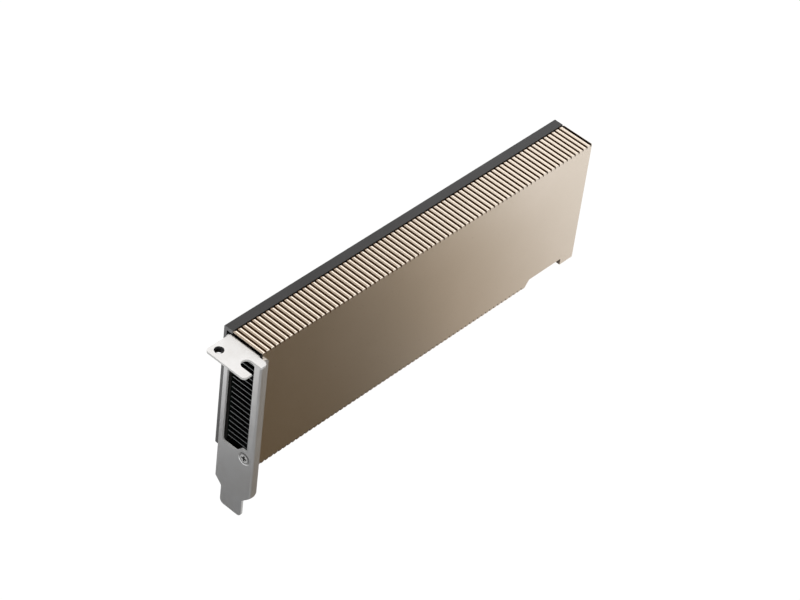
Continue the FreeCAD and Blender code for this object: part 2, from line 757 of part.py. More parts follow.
# Fins lie along the air's path, joined by the flanges folded at their feet
def makeFins():
    body = newBody("fin_stack")
    finBottom = "(-Card.gpuDrop + Card.finPitch * (Card.finCount - 1) / 2 - Card.finThick / 2)"
    deepEnd = "(Card.baseStart - Card.finStepGap)"
    front = f"-({shroudInner} - Card.finClearance)"
    plate = newSketch(body, "XY_Plane", finBottom)
    outline(plate, [
        ("Card.finStart", "-Card.finRearDepth"),
        (deepEnd, "-Card.finRearDepth"),
        (deepEnd, f"-{baseFront}"),
        ("Card.finEnd", f"-{baseFront}"),
        ("Card.finEnd", front),
        ("Card.finStart", front),
    ])
    fin = pad(body, plate, "Card.finThick")
    repeat(body, [fin], "Z_Axis", "Card.finPitch", "Card.finCount", backwards=True)
    web = newSketch(body, "XZ_Plane", baseFront)
    half = "(Card.finPitch * (Card.finCount - 1) / 2 + Card.finThick / 2)"
    rectangle(web, deepEnd, "Card.finEnd", f"(-Card.gpuDrop - {half})", f"(-Card.gpuDrop + {half})")
    pad(body, web, "Card.webThick")
    clearBosses(body, f"(Card.finStart - {overcut})")
    return body


# A flat moulded or ground block that stands on a face square to the depth
def makeBlock(label, width, height, thick, x, depth, z, edge=None, towardsRear=False):
    body = newBody(label, x, depth, z)
    face = newSketch(body, "XZ_Plane")
    rectangle(face, f"-({width}) / 2", f"({width}) / 2", f"-({height}) / 2", f"({height}) / 2")
    block = pad(body, face, thick, backwards=towardsRear)
    if edge:
        outer = number(thick) * (1 if towardsRear else -1)
        bevelEdges(body, block, edge, lambda item: isAt(item, "y", outer))
    return body


def makeProcessor():
    x = "Card.gpuX"
    z = "-Card.gpuDrop"
    substrateTop = f"({boardFront} + Card.gpuPackageThick)"
    substrate = makeBlock("gpu_substrate", "Card.gpuPackage", "Card.gpuPackage", "Card.gpuPackageThick",
                          x, boardFront, z)
    die = makeBlock("gpu_die", "Card.dieWidth", "Card.dieHeight", "Card.dieThick", x, substrateTop, z)
    paste = makeBlock("die_paste", "Card.dieWidth", "Card.dieHeight", "Card.pasteThick", x, dieTop, z)
    frame = newBody("gpu_frame", x, substrateTop, z)
    ring = newSketch(frame, "XZ_Plane")
    for side in ("Card.frameOuter", "Card.frameInner"):
        rectangle(ring, f"-{side} / 2", f"{side} / 2", f"-{side} / 2", f"{side} / 2")
    pad(frame, ring, "Card.frameThick")
    return [substrate, die, paste, frame]


def makeMemory():
    made = []
    padWidth = "(Card.memoryWidth - 2 * Card.padInset)"
    padHeight = "(Card.memoryHeight - 2 * Card.padInset)"
    corners = [(i, j) for i in (-1, 1) for j in (1, -1)]
    for place, (i, j) in enumerate(corners, 1):
        x = f"(Card.gpuX + {i} * Card.memoryOffsetX)"
        z = f"({j} * Card.memoryOffsetZ - Card.gpuDrop)"
        made.append(makeBlock(f"memory_chip_{place}", "Card.memoryWidth", "Card.memoryHeight",
                              "Card.memoryThick", x, boardFront, z))
        made.append(makeBlock(f"memory_pad_{place}", padWidth, padHeight,
                              f"Card.baseDepth - {boardFront} - Card.memoryThick",
                              x, f"({boardFront} + Card.memoryThick)", z))
        made.append(makeBlock(f"rear_memory_chip_{place}", "Card.memoryWidth", "Card.memoryHeight",
                              "Card.rearMemoryThick", x, boardRear, z, towardsRear=True))
        made.append(makeBlock(f"rear_memory_pad_{place}", padWidth, padHeight,
                              "Card.rearGap - Card.rearMemoryThick", x, "Card.backplateWall", z))
    return made


def makePower():
    made = []
    for place in range(powerStages):
        z = f"(({powerStages - 1} / 2 - {place}) * Card.powerPitch - Card.gpuDrop)"
        made.append(makeBlock(f"power_inductor_{place + 1}", "Card.inductorSide", "Card.inductorSide",
                              "Card.inductorThick", "Card.inductorX", boardFront, z, "Card.mouldEdge"))
        made.append(makeBlock(f"power_stage_{place + 1}", "Card.stageWidth", "Card.stageHeight",
                              "Card.stageThick", "Card.stageX", boardFront, z))
        made.append(makeBlock(f"bulk_capacitor_{place + 1}", "Card.bulkWidth", "Card.bulkHeight",
                              "Card.bulkThick", "Card.bulkX", boardFront, z, "Card.mouldEdge"))
    made.append(makeBlock("power_pad", "Card.stageWidth",
                          f"({powerStages - 1} * Card.powerPitch + Card.stageHeight)",
                          f"Card.baseDepth - {boardFront} - Card.stageThick", "Card.stageX",
                          f"({boardFront} + Card.stageThick)", "-Card.gpuDrop"))
    return made


def makeSmallParts():
    controller = makeBlock("voltage_controller", "Card.controllerSide", "Card.controllerSide",
                           "Card.controllerThick", "Card.controllerX", boardFront, "-Card.controllerDrop")
    firmware = makeBlock("firmware_chip", "Card.firmwareWidth", "Card.firmwareHeight",
                         "Card.controllerThick", "Card.firmwareX", boardFront, "-Card.firmwareDrop")
    crystal = makeBlock("clock_crystal", "Card.crystalWidth", "Card.crystalHeight", "Card.crystalThick",
                        "Card.crystalX", boardFront, "-Card.crystalDrop")

    # Two rows of ceramic capacitors flank the processor package
    filters = newBody("ceramic_capacitors", "Card.gpuX", boardFront, "-Card.gpuDrop")
    for side in (-1, 1):
        lowest = "(-(Card.filterCount - 1) / 2 * Card.filterPitch)"
        chip = newSketch(filters, "XZ_Plane")
        rectangle(chip, f"({side} * Card.filterOffset - Card.filterShort / 2)",
                  f"({side} * Card.filterOffset + Card.filterShort / 2)",
                  f"({lowest} - Card.filterLong / 2)", f"({lowest} + Card.filterLong / 2)")
        repeat(filters, [pad(filters, chip, "Card.filterShort")], "Z_Axis", "Card.filterPitch",
               "Card.filterCount")

    # Couplers stand in a row above the connector
    couplers = newBody("coupling_capacitors", "Card.couplerStart", boardFront, "-Card.couplerDrop")
    chip = newSketch(couplers, "XZ_Plane")
    rectangle(chip, "-Card.filterShort / 2", "Card.filterShort / 2",
              "-Card.filterLong / 2", "Card.filterLong / 2")
    repeat(couplers, [pad(couplers, chip, "Card.filterShort")], "X_Axis", "Card.couplerPitch",
           "Card.couplerCount")
    return [controller, firmware, crystal, filters, couplers]


# A turned piece: its profile gives pairs of a length along the axis and a radius
def turn(body, role, profile):
    if role == "Y_Axis":
        section = newSketch(body, "XY_Plane")
        outline(section, [(radius, f"-({length})") for length, radius in profile])
    else:
        section = newSketch(body, "XZ_Plane")
        outline(section, profile if role == "X_Axis" else [(radius, length) for length, radius in profile])
    feature = body.newObject("PartDesign::Revolution", body.Label + "_turn")
    feature.Profile = section
    feature.ReferenceAxis = (originFeature(body, role), [""])
    feature.Angle = 360
    return feature


# The cross recess is a pocket of twelve corners sunk into the head
def crossRecess(body, role, offset, reach):
    half = "Card.crossWidth / 2"
    cross = newSketch(body, role, offset)
    quarter = [(half, reach), (half, half), (reach, half)]
    corners = []
    for turnCount in range(4):
        for x, y in quarter:
            signed = [(x, y), (y, f"-({x})"), (f"-({x})", f"-({y})"), (f"-({y})", x)][turnCount]
            corners.append(signed)
    outline(cross, corners)
    return cut(body, cross, "Card.crossDepth", backwards=True)


def makeBackplateScrews():
    start = "(Card.screwSink - Card.screwHeadThick)"
    body = newBody("backplate_screws", "Card.screwNearX", "0", "-Card.screwBottomDrop")
    screw = turn(body, "Y_Axis", [
        (start, "0"),
        (start, "Card.screwHeadRadius"),
        ("Card.screwSink", "Card.screwHeadRadius"),
        ("Card.screwSink", "Card.pilotRadius"),
        (f"({boardFront} + Card.screwGrip)", "Card.pilotRadius"),
        (f"({boardFront} + Card.screwGrip)", "0"),
    ])
    recess = crossRecess(body, "XZ_Plane", start, "Card.crossReach")
    repeatInRows(body, [screw, recess], "Card.screwSpan", str(screwColumns),
                 "Card.screwBottomDrop - Card.screwTopDrop")
    return body


def makeSinkScrews():
    corner = ("(Card.gpuX - Card.sinkScrewX)", "(-Card.gpuDrop - Card.sinkScrewZ)")
    headEnd = "(Card.sinkHeadSink + Card.sinkHeadThick)"
    screws = newBody("heatsink_screws", corner[0], "0", corner[1])
    screw = turn(screws, "Y_Axis", [
        ("Card.sinkHeadSink", "0"),
        ("Card.sinkHeadSink", "Card.sinkHeadRadius"),
        (headEnd, "Card.sinkHeadRadius"),
        (headEnd, "Card.sinkScrewRadius"),
        (f"({boardFront} + Card.sinkScrewGrip)", "Card.sinkScrewRadius"),
        (f"({boardFront} + Card.sinkScrewGrip)", "0"),
    ])
    recess = crossRecess(screws, "XZ_Plane", "Card.sinkHeadSink", "Card.crossReach")
    washers = newBody("spring_washers", corner[0], "0", corner[1])
    inner = "(Card.sinkScrewRadius + Card.looseFit / 2)"
    washer = turn(washers, "Y_Axis", [
        (headEnd, inner),
        (boardRear, inner),
        (boardRear, "Card.washerRadius"),
        (headEnd, "Card.washerRadius"),
    ])
    for body, originals in ((screws, [screw, recess]), (washers, [washer])):
        repeatInRows(body, originals, "2 * Card.sinkScrewX", "2", "2 * Card.sinkScrewZ")
    return [screws, washers]


def makeBracketScrew(label, depth, drop, head, reach):
    body = newBody(label, "0", depth, f"-{drop}")
    cone = f"min({head} - Card.pilotRadius; Card.sheetThick)"
    turn(body, "X_Axis", [
        ("0", "0"),
        ("0", head),
        (cone, f"({head} - {cone})"),
        (cone, "Card.pilotRadius"),
        ("(Card.sheetThick + Card.pilotDepth - Card.looseFit)", "Card.pilotRadius"),
        ("(Card.sheetThick + Card.pilotDepth - Card.looseFit)", "0"),
    ])
    crossRecess(body, "YZ_Plane", "0", reach)
    return body


# Threaded insert pressed into the tab from below, its mouth flush with the tab
def makeInsert():
    body = newBody("tab_insert", "-Card.insertX", "Card.insertDepth", "0")
    turn(body, "Z_Axis", [
        ("0", "(Card.insertMouth - Card.insertRim)"),
        ("0", "Card.insertMouth"),
        ("-Card.sheetThick", "Card.insertMouth"),
        ("-Card.sheetThick", "Card.insertFlange"),
        ("-Card.insertDrop", "Card.insertFlange"),
        ("-Card.insertDrop", "Card.insertBore"),
        ("-(Card.insertMouth - Card.insertRim - Card.insertBore)", "Card.insertBore"),
    ])
    return body


parts = [makeShroud(), makeBackplate(), makeBracket(), makeBoard(), makeContacts(), makeBase(), makeFins()]
parts += makeProcessor() + makeMemory() + makePower() + makeSmallParts()
parts += [makeBackplateScrews()] + makeSinkScrews()
parts += [
    makeBracketScrew("bracket_screw", "Card.bracketScrewDepth", "Card.bracketScrewDrop",
                     "Card.bracketScrewHead", "Card.bracketCross"),
    makeBracketScrew("bracket_top_screw", "Card.topScrewDepth", "Card.topScrewDrop", "Card.topScrewHead",
                     "Card.topCross"),
    makeInsert(),
]
doc.recompute()

for item in doc.Objects:
    if "Invalid" in item.State or "Error" in item.State:
        raise RuntimeError(f"{item.Label} failed to build")
for part in parts:
    if part.Shape.isNull() or not part.Shape.isValid():
        raise RuntimeError(f"{part.Label} has no valid shape")

os.makedirs("parts", exist_ok=True)
for part in parts:
    part.Shape.exportStep(f"parts/{part.Label}.step")
    print(part.Label, len(part.Shape.Solids), round(part.Shape.Volume, 2))
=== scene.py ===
import bpy
import math
from mathutils import Matrix, Vector


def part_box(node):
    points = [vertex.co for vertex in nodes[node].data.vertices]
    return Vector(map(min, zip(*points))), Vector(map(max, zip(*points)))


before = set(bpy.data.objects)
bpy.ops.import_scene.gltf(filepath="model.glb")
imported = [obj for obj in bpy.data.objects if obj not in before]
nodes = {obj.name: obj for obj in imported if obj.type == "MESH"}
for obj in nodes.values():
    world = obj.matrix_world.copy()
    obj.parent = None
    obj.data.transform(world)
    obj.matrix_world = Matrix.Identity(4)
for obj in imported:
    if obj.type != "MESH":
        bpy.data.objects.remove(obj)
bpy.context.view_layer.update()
print("frame loaded:", len(nodes), "nodes")


# A socket that can be written into sums, so masks read as plain expressions
class Wire:
    def __init__(self, graph, socket):
        self.graph = graph
        self.socket = socket

    def __add__(self, other):
        return self.graph.maths("ADD", self, other)

    def __radd__(self, other):
        return self.graph.maths("ADD", other, self)

    def __sub__(self, other):
        return self.graph.maths("SUBTRACT", self, other)

    def __rsub__(self, other):
        return self.graph.maths("SUBTRACT", other, self)

    def __mul__(self, other):
        return self.graph.maths("MULTIPLY", self, other)

    def __rmul__(self, other):
        return self.graph.maths("MULTIPLY", other, self)


class Graph:
    def __init__(self, tree):
        self.tree = tree
        tree.nodes.clear()

    # Settings go in first, then the values or wires of the sockets, by name or by number
    def add(self, kind, settings=None, sockets=None, out=0):
        node = self.tree.nodes.new(kind)
        for name, value in (settings or {}).items():
            setattr(node, name, value)
        for name, value in (sockets or {}).items():
            if isinstance(value, Wire):
                self.tree.links.new(value.socket, node.inputs[name])
            else:
                node.inputs[name].default_value = value
        return Wire(self, node.outputs[out]) if len(node.outputs) else node

    # Other outputs of the node that a wire comes from
    def others(self, wire, names):
        return [Wire(self, wire.socket.node.outputs[name]) for name in names]

    def maths(self, operation, a, b=0.0):
        return self.add("ShaderNodeMath", {"operation": operation}, {0: a, 1: b})

    # The mix node's colours are its sockets 6 and 7, and its mixed colour is output 2
    def mix(self, amount, a, b):
        return self.add("ShaderNodeMix", {"data_type": "RGBA"}, {0: amount, 6: a, 7: b}, out=2)

    # 0 below low, 1 above high, smooth between
    def step(self, value, low, high):
        settings = {"interpolation_type": "SMOOTHSTEP"}
        return self.add("ShaderNodeMapRange", settings, {"Value": value, "From Min": low, "From Max": high})

    # 0 up to a place and 1 from the end of a short ramp
    def past(self, value, place, ramp):
        return self.step(value, place, place + ramp)

    # One number where the mask is 0 and another where it is 1
    def blend(self, mask, bare, masked):
        return bare + (masked - bare) * mask

    # A number that a noise, which runs about one half, moves up and down
    def vary(self, level, noise, amount, middle=0.5):
        return level + (noise - middle) * amount

    # Two colours that run into each other as a noise passes between two levels
    def tones(self, noise, levels, first, second):
        return self.mix(self.step(noise, *levels), rgb(first), rgb(second))

    def place(self):
        return self.add("ShaderNodeTexCoord", out="Object")

    def facing(self):
        return self.add("ShaderNodeTexCoord", out="Normal")

    # The parts of a vector along the axes asked for, in one list
    def split(self, vector, axes):
        return self.others(self.add("ShaderNodeSeparateXYZ", sockets={"Vector": vector}), axes)

    def stretch(self, vector, scales):
        return self.add("ShaderNodeVectorMath", {"operation": "MULTIPLY"}, {0: vector, 1: scales})

    def noise(self, vector, scale, detail=3.0, rough=0.6):
        return self.add("ShaderNodeTexNoise", None,
                        {"Vector": vector, "Scale": scale, "Detail": detail, "Roughness": rough})

    # Grain with a scale of its own along each axis
    def drawnGrain(self, vector, scales, scale=2.0):
        return self.noise(self.stretch(vector, scales), scale)

    def bump(self, height, distance, strength=1.0):
        return self.add("ShaderNodeBump", None,
                        {"Strength": strength, "Distance": distance, "Height": height})


# The sRGB curve, which turns a screen colour into a linear one
screenCurve = {"straightBelow": 0.04045, "slope": 12.92, "offset": 0.055, "power": 2.4}


def rgb(hexText, gain=1.0):
    def linear(part):
        level = int(part, 16) / 255
        if level < screenCurve["straightBelow"]:
            return gain * level / screenCurve["slope"]
        offset = screenCurve["offset"]
        return gain * ((level + offset) / (1 + offset)) ** screenCurve["power"]
    return tuple(linear(hexText[i:i + 2]) for i in (0, 2, 4)) + (1.0,)


def newMaterial(name):
    material = bpy.data.materials.new(name)
    material.use_nodes = True
    return material, Graph(material.node_tree)


socketNames = {
    "baseColor": "Base Color",
    "metallic": "Metallic",
    "roughness": "Roughness",
    "normal": "Normal",
    "coat": "Coat Weight",
    "coatRoughness": "Coat Roughness",
    "coatIor": "Coat IOR",
}


def finish(graph, **sockets):
    values = {socketNames[key]: value for key, value in sockets.items()}
    shader = graph.add("ShaderNodeBsdfPrincipled", None, values)
    graph.add("ShaderNodeOutputMaterial", None, {"Surface": shader})


def dress(names, material):
    for name in names:
        mesh = nodes[name].data
        mesh.materials.clear()
        mesh.materials.append(material)


def smoothRounds(names, angle):
    for name in names:
        mesh = nodes[name].data
        mesh.polygons.foreach_set("use_smooth", [True] * len(mesh.polygons))
        mesh.set_sharp_from_angle(angle=math.radians(angle))


# Lengths marked mm are in millimetres and all others in metres, along the frame's own axes.
# A cloud or weave is a noise's scale, detail and roughness. Where levels, facings, shares, a lean
# or a rise come as a pair, a mask starts at the first and is full at the second
mm = 0.001

# Shroud: champagne anodised aluminium, with bright bevels cut on the ribs, paler partly as cut metal and
# partly as painted highlight, and painted shade in the slots between them, under the near lip, at the far
# rim and in the cavity
shroud = {
    "gold": "dacbb8",
    "goldCloud": "decfbd",
    # Pale colour of the cut bevels, partly painted highlight; a share of it paints the highlight on the
    # ribs' small front chamfer
    "bevel": "faf0e2",
    # Dark colours painted as shade: in the slots, in the slots of the bottom wall, under the near lip and
    # at the far rim, and in the cavity
    "slot": "705030",
    "underSlotShade": "4f3f2c",
    "lipShade": "1c130a",
    "paintedInsideShade": "3a3026",
    "edgeHighlightShare": 0.4,
    "roughness": 0.3,
    "bevelRoughness": 0.26,
    "roughnessVary": 0.12,
    "metal": 1.0,
    "slotMetal": 0.4,
    "coatRoughness": 0.3,
    "coatIor": 1.7,
    "grain": 2600,
    "grainDepth": 0.004 * mm,
    "cloud": (28.0, 3.0, 0.55),
    "cloudLevels": (0.35, 0.7),
    "ramp": 0.1 * mm,
    "lipDrop": 0.12 * mm,  # from the ribs' tops down to where the painted shade at the foot of the bevels starts
    "slotDepth": 1.1 * mm,
    "lipReach": 0.98 * mm,
    "lipThick": 0.6 * mm,
    "brow": 0.02 * mm,
    "browRamp": 0.06 * mm,
    "nearEdge": 0.18 * mm,
    "nearEdgeRamp": 0.04 * mm,
    "endFace": 0.1 * mm,
    "endFaceRamp": 0.05 * mm,
    "endRim": 0.3 * mm,
    "endRimRamp": 0.02 * mm,
    "underHeight": 3.1 * mm,
    "frontWall": 1.15 * mm,
    "sideWall": 1.4 * mm,
    "frontFacing": (0.4, 0.6),
    "nearFacing": (0.5, 0.7),
    "edgeHighlightFacing": (0.5, 0.6),
    "bevelLean": (0.12, 0.24),
    "bevelRise": (0.9, 0.94),
}


def makeShroudFinish():
    material, graph = newMaterial("champagneAnodised")
    low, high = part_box("shroud")
    place = graph.place()
    x, y, z = graph.split(place, "XYZ")
    faceX, faceY, faceZ = graph.split(graph.facing(), "XYZ")
    grain = graph.noise(place, shroud["grain"])
    cloud = graph.noise(place, *shroud["cloud"])
    ramp = shroud["ramp"]

    # Depth below the outer face of the top or bottom wall, whichever is nearer
    deep = graph.maths("MINIMUM", high.z - z, z - low.z)
    # Painted shade: the walls that face the near end, the slots, the underside of the near lip and the far
    # rim are darkened in colour
    notFront = 1 - graph.step(0 - faceY, *shroud["frontFacing"])
    notEnd = 1 - graph.past(x, high.x - shroud["endFace"], shroud["endFaceRamp"])
    facesNear = graph.step(0 - faceX, *shroud["nearFacing"])
    facesNear = facesNear * graph.past(deep, shroud["brow"], shroud["browRamp"])
    facesNear = facesNear * graph.past(x, low.x + shroud["nearEdge"], shroud["nearEdgeRamp"])
    pastLip = graph.past(x, low.x + shroud["lipReach"], ramp)
    inSlot = graph.past(deep, shroud["lipDrop"], ramp) * (1 - graph.past(deep, shroud["slotDepth"], ramp))
    inSlot = inSlot * pastLip
    underLip = (1 - pastLip) * graph.past(deep, shroud["lipThick"], ramp)
    rim = graph.past(x, high.x - shroud["endRim"], shroud["endRimRamp"])
    isUnder = 1 - graph.past(z, low.z + shroud["underHeight"], ramp)
    paintedShade = graph.maths("MAXIMUM", facesNear, (inSlot * notEnd + underLip + rim * notEnd) * notFront)
    paintedShade = graph.maths("MINIMUM", paintedShade, 1.0)
    atEnds = graph.maths("MINIMUM", underLip + rim, 1.0)
    # Painted shade in the cavity, where the walls lie in shadow
    paintedInsideShade = graph.past(y, low.y + shroud["frontWall"] - ramp, ramp)
    paintedInsideShade = paintedInsideShade * graph.past(deep, shroud["sideWall"], ramp) * notEnd
    isBevel = graph.step(faceX, *shroud["bevelLean"]) * graph.step(faceZ, *shroud["bevelRise"])
    isBevel = isBevel * (1 - paintedShade)
    # Painted highlight on the ribs' small front chamfer
    paintedEdgeHighlight = graph.step(faceZ, *shroud["edgeHighlightFacing"]) * graph.step(0 - faceY, *shroud["edgeHighlightFacing"])

    tone = graph.tones(cloud, shroud["cloudLevels"], shroud["gold"], shroud["goldCloud"])
    tone = graph.mix(paintedInsideShade, tone, rgb(shroud["paintedInsideShade"]))
    dark = graph.mix(isUnder, rgb(shroud["slot"]), rgb(shroud["underSlotShade"]))
    dark = graph.mix(atEnds, dark, rgb(shroud["lipShade"]))
    tone = graph.mix(paintedShade, tone, dark)
    # The bevels are paler partly as cut metal and partly as painted highlight
    tone = graph.mix(isBevel + paintedEdgeHighlight * shroud["edgeHighlightShare"], tone, rgb(shroud["bevel"]))
    rough = graph.vary(shroud["roughness"], grain, shroud["roughnessVary"])
    polish = (shroud["bevelRoughness"] - shroud["roughness"]) * isBevel
    # The clear anodic layer shows on the open faces and not where shade is painted: in the slots, under the
    # near lip, at the far rim and in the cavity
    coat = 1 - graph.maths("MAXIMUM", paintedShade, paintedInsideShade)
    finish(graph, baseColor=tone, roughness=rough + polish,
           metallic=graph.blend(paintedShade, shroud["metal"], shroud["slotMetal"]),
           coat=coat, coatRoughness=shroud["coatRoughness"], coatIor=shroud["coatIor"],
           normal=graph.bump(grain, shroud["grainDepth"]))
    dress(["shroud"], material)


makeShroudFinish()
print("shroud done")

# Backplate: the dark plate and the bar along the card's top edge, pale where its end is cut
backplate = {
    "dark": "474748",
    "worn": "4e4e4f",
    "cut": "7c7c7c",
    "roughness": 0.48,
    "roughnessVary": 0.14,
    "metal": 0.7,
    "grain": 2400,
    "grainDepth": 0.004 * mm,
    "cloud": (35.0, 3.0, 0.55),
    "cloudLevels": (0.35, 0.7),
    "endFacing": (0.5, 0.7),
}


def makeBackplateFinish():
    material, graph = newMaterial("darkAnodised")
    place = graph.place()
    [faceX] = graph.split(graph.facing(), "X")
    grain = graph.noise(place, backplate["grain"])
    cloud = graph.noise(place, *backplate["cloud"])
    tone = graph.tones(cloud, backplate["cloudLevels"], backplate["dark"], backplate["worn"])
    isCut = graph.step(0 - faceX, *backplate["endFacing"])
    tone = graph.mix(isCut, tone, rgb(backplate["cut"]))
    finish(graph, baseColor=tone, metallic=backplate["metal"],
           roughness=graph.vary(backplate["roughness"], grain, backplate["roughnessVary"]),
           normal=graph.bump(grain, backplate["grainDepth"]))
    dress(["backplate"], material)


makeBackplateFinish()
print("backplate done")

# Bracket: folded steel with a satin nickel plate, drawn along its length
bracket = {
    "plate": "efefef",
    "handled": "e5e4e3",
    "cut": "f2f2f0",
    "roughness": 0.38,
    "linesVary": 0.16,
    "cloudVary": 0.08,
    "mattRoughness": 0.7,
    "metal": 0.8,
    "tabMetal": 0.95,
    "cutMetal": 0.2,
    "lines": (900.0, 900.0, 60.0),
    "lineDepth": 0.0025 * mm,
    "cloud": (60.0, 4.0, 0.6),
    "cloudLevels": (0.35, 0.72),
    "ramp": 0.1 * mm,
    "tabReach": 11.43 * mm,
    "sideLip": 4.1 * mm,
    "sheetFacing": (0.1, 0.3),
    "smoothAngle": 25,
}


def makeBracketFinish():
    material, graph = newMaterial("satinNickel")
    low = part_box("io_bracket")[0]
    place = graph.place()
    x, y = graph.split(place, "XY")
    faceX, faceZ = graph.split(graph.facing(), "XZ")
    lines = graph.drawnGrain(place, bracket["lines"])
    cloud = graph.noise(place, *bracket["cloud"])
    ramp = bracket["ramp"]

    # Sheared edges stand square to the sheet, which lies level in the tab and upright in the strip
    inTab = 1 - graph.past(x, low.x + bracket["tabReach"] - ramp, ramp)
    flatness = graph.maths("ABSOLUTE", faceZ) * inTab + graph.maths("ABSOLUTE", faceX) * (1 - inTab)
    beyondLip = graph.past(y, low.y + bracket["sideLip"] - ramp, ramp)
    isCut = (1 - graph.step(flatness, *bracket["sheetFacing"])) * graph.maths("MAXIMUM", inTab, beyondLip)

    tone = graph.tones(cloud, bracket["cloudLevels"], bracket["plate"], bracket["handled"])
    tone = graph.mix(isCut, tone, rgb(bracket["cut"]))
    # Handling has rubbed the tab and the cut edges matt
    isMatt = graph.maths("MAXIMUM", isCut, inTab)
    rough = graph.vary(bracket["roughness"], lines, bracket["linesVary"])
    rough = graph.vary(rough, cloud, bracket["cloudVary"])
    rough = rough + (bracket["mattRoughness"] - bracket["roughness"]) * isMatt
    metal = graph.blend(inTab * (1 - isCut), bracket["metal"], bracket["tabMetal"])
    metal = metal + (bracket["cutMetal"] - bracket["metal"]) * isCut
    finish(graph, baseColor=tone, metallic=metal, roughness=rough,
           normal=graph.bump(lines, bracket["lineDepth"]))
    dress(["io_bracket"], material)
    smoothRounds(["io_bracket"], bracket["smoothAngle"])


makeBracketFinish()
print("bracket done")

# Board: dark solder mask over buried tracks, with bare laminate on the sawn edges
board = {
    "mask": "16211c",
    "track": "1c2b24",
    "laminate": "14120c",
    "weaveGain": 0.6,
    "roughness": 0.32,
    "edgeRoughness": 0.75,
    "weave": (900.0, 2.0, 0.5),
    "weaveStretch": (1.0, 1.0, 2.5),
    "trackPitch": 420.0,
    "trackLevels": (0.25, 0.4),
    "trackDepth": 0.02 * mm,
    "trackStrength": 0.5,
    "sideFacing": (0.8, 0.95),
}


def makeBoardFinish():
    material, graph = newMaterial("solderMask")
    place = graph.place()
    [faceY] = graph.split(graph.facing(), "Y")
    isSide = graph.step(graph.maths("ABSOLUTE", faceY), *board["sideFacing"])
    weave = graph.noise(graph.stretch(place, board["weaveStretch"]), *board["weave"])
    tracks = graph.add("ShaderNodeTexVoronoi", {"distance": "MANHATTAN"},
                       {"Vector": place, "Scale": board["trackPitch"]})
    mask = graph.tones(tracks, board["trackLevels"], board["track"], board["mask"])
    edge = graph.mix(weave, rgb(board["laminate"]), rgb(board["laminate"], board["weaveGain"]))
    finish(graph, baseColor=graph.mix(isSide, edge, mask),
           roughness=graph.blend(isSide, board["edgeRoughness"], board["roughness"]),
           normal=graph.bump(tracks, board["trackDepth"], board["trackStrength"]))
    dress(["circuit_board"], material)


makeBoardFinish()
print("board done")

# What all plain metals share, the fins too
metalGrain = {"levels": (0.3, 0.75), "roughnessVary": 0.14, "depth": 0.004 * mm, "strength": 0.6}

# Fins: sheet coloured dark as painted shade, whose sheared ends show paler as painted highlight in the
# window and at the open far end
fins = {
    # The sheet's dark tones are painted shade
    "sheet": "5c5d5e",
    "dull": "4a4b4c",
    "end": "96999a",
    "roughness": 0.34,
    "metal": 1.0,
    "endMetal": 0.4,
    "grain": (60.0, 900.0, 900.0),
    "endFacing": (0.7, 0.9),
}


def makeFinFinish():
    material, graph = newMaterial("finSheet")
    [faceX] = graph.split(graph.facing(), "X")
    grain = graph.drawnGrain(graph.place(), fins["grain"])
    # Painted highlight on the sheared ends
    paintedEndHighlight = graph.step(graph.maths("ABSOLUTE", faceX), *fins["endFacing"])
    tone = graph.tones(grain, metalGrain["levels"], fins["sheet"], fins["dull"])
    finish(graph, baseColor=graph.mix(paintedEndHighlight, tone, rgb(fins["end"])),
           metallic=graph.blend(paintedEndHighlight, fins["metal"], fins["endMetal"]),
           roughness=graph.vary(fins["roughness"], grain, metalGrain["roughnessVary"]),
           normal=graph.bump(grain, metalGrain["depth"], metalGrain["strength"]))
    dress(["fin_stack"], material)


makeFinFinish()
print("fins done")

# Plain metals: one recipe, a dictionary for each alloy
metals = {
    "milledCopper": {"nodes": ["heatsink_base"], "light": "d88a63", "dull": "b9724f", "roughness": 0.36,
                     "grain": (700.0, 120.0, 60.0)},
    "hardGold": {"nodes": ["contact_fingers"], "light": "e8bd57", "dull": "cf9f3e", "roughness": 0.28,
                 "grain": (900.0, 300.0, 120.0)},
    "stampedFrame": {"nodes": ["gpu_frame"], "light": "b9b09b", "dull": "9c937f", "roughness": 0.42,
                     "grain": (300.0, 300.0, 300.0)},
    "canMetal": {"nodes": ["clock_crystal"], "light": "d2cfc6", "dull": "b2aea4", "roughness": 0.3,
                 "grain": (300.0, 300.0, 900.0)},
    "polishedSilicon": {"nodes": ["gpu_die"], "light": "7d838c", "dull": "686e78", "roughness": 0.08,
                        "grain": (100.0, 100.0, 100.0)},
    "brightZinc": {"nodes": ["backplate_screws", "heatsink_screws", "spring_washers"],
                   "light": "d9d9d8", "dull": "b7b6b4", "roughness": 0.2, "grain": (500.0, 500.0, 500.0)},
    # The insert is coloured near black as painted shade in its tapped hole
    "shadedInsertSteel": {"nodes": ["tab_insert"], "light": "2c2c2d", "dull": "1f1f20", "roughness": 0.36,
                    "grain": (300.0, 300.0, 2500.0)},
}
turnedAngle = 30


def makeMetal(name, look):
    material, graph = newMaterial(name)
    grain = graph.drawnGrain(graph.place(), look["grain"])
    tone = graph.tones(grain, metalGrain["levels"], look["light"], look["dull"])
    finish(graph, baseColor=tone, metallic=1.0,
           roughness=graph.vary(look["roughness"], grain, metalGrain["roughnessVary"]),
           normal=graph.bump(grain, metalGrain["depth"], metalGrain["strength"]))
    dress(look["nodes"], material)


for name, look in metals.items():
    makeMetal(name, look)
smoothRounds(metals["brightZinc"]["nodes"] + metals["shadedInsertSteel"]["nodes"], turnedAngle)
print("metals done")

